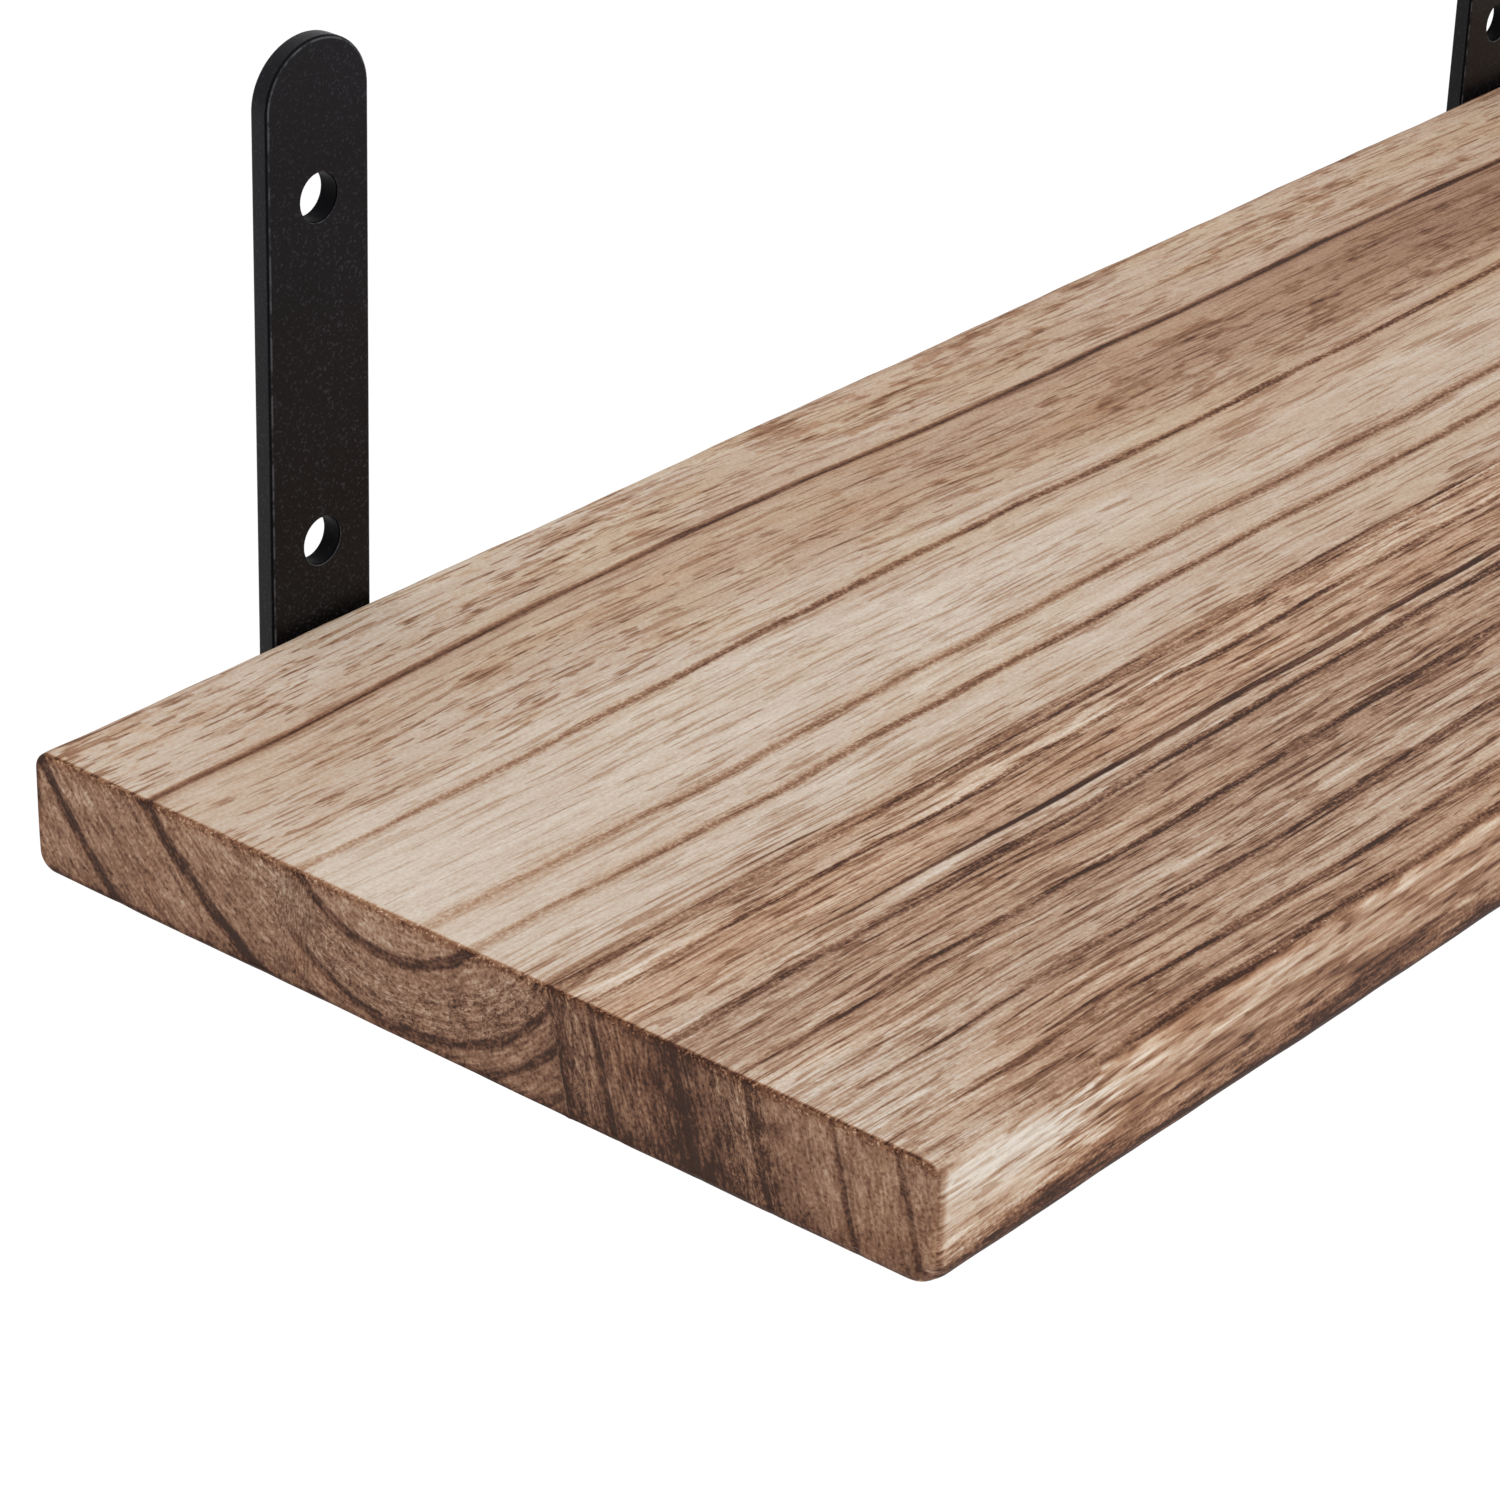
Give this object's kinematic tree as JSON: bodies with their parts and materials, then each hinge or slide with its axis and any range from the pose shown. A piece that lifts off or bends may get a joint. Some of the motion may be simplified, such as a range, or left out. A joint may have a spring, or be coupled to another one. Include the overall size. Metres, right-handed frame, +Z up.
{
  "type": "wall shelf with brackets",
  "caption": "Small rustic solid-wood wall shelf, a flat edge-glued board carried on black flat-bar L brackets whose rounded uprights stand above the board.",
  "frame": {"origin": "on the wall plane (the brackets' back faces), midway between the two brackets, level with the underside of the board", "axes": "+X along the shelf to the right as seen from the room, +Y into the wall, +Z up"},
  "size_m": [0.403, 0.1532, 0.1077],
  "materials": {
    "wood": "brushed and lightly torched softwood, matte to low sheen, dark growth rings",
    "bracket_coating": "black satin powder coat with a fine texture",
    "screw": "zinc-plated steel, slightly dulled"
  },
  "bodies": {
    "root": {"shelf_rear_stave": "wood", "shelf_front_stave": "wood", "bracket_left": "bracket_coating", "bracket_right": "bracket_coating", "left_rear_board_screw": "screw", "left_front_board_screw": "screw", "right_rear_board_screw": "screw", "right_front_board_screw": "screw"}
  },
  "joints": []
}
